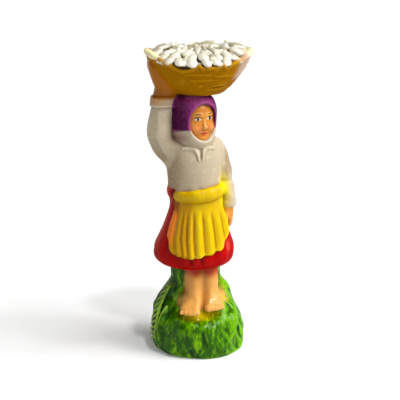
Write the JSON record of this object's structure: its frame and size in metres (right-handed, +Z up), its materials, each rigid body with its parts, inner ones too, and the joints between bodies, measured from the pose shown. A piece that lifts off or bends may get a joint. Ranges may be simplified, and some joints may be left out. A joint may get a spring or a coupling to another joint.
{
  "type": "fishwife figurine",
  "caption": "Glazed ceramic figurine of a barefoot fishwife on a grassy mound, one arm raised to a basket of fish on her head.",
  "frame": {"origin": "on the ground under the middle of the figure's whole width", "axes": "+Z up, the figure's front towards -Y, its left hand towards +X"},
  "size_m": [0.0408, 0.0336, 0.119],
  "materials": {
    "grass": "green underglaze paint, glossy clear glaze",
    "skin": "peach paint, glossy clear glaze",
    "red": "red paint, glossy clear glaze",
    "yellow": "yellow paint, glossy clear glaze",
    "white": "off-white glaze, satin",
    "purple": "purple paint, glossy clear glaze",
    "ochre": "ochre paint, glossy clear glaze",
    "silver": "silver lustre over white glaze"
  },
  "bodies": {
    "root": {"right_leg": "skin", "left_leg": "skin", "grass_mound": "grass", "fern_frond": "grass", "skirt": "red", "apron_band": "yellow", "skirt_roll": "red", "apron": "yellow", "torso": "white", "right_lapel": "white", "left_lapel": "white", "right_sleeve": "white", "right_cuff": "white", "right_hand": "skin", "left_sleeve": "white", "left_cuff": "white", "left_hand": "skin", "head": "skin", "headscarf": "purple", "kerchief": "white", "basket": "ochre", "fish_bed": "silver", "fish_01": "silver", "fish_02": "silver", "fish_03": "silver", "fish_04": "silver", "fish_05": "silver", "fish_06": "silver", "fish_07": "silver", "fish_08": "silver", "fish_09": "silver", "fish_10": "silver", "fish_11": "silver", "fish_12": "silver", "fish_13": "silver", "fish_14": "silver", "fish_15": "silver", "fish_16": "silver", "fish_17": "silver", "fish_18": "silver"}
  },
  "joints": []
}
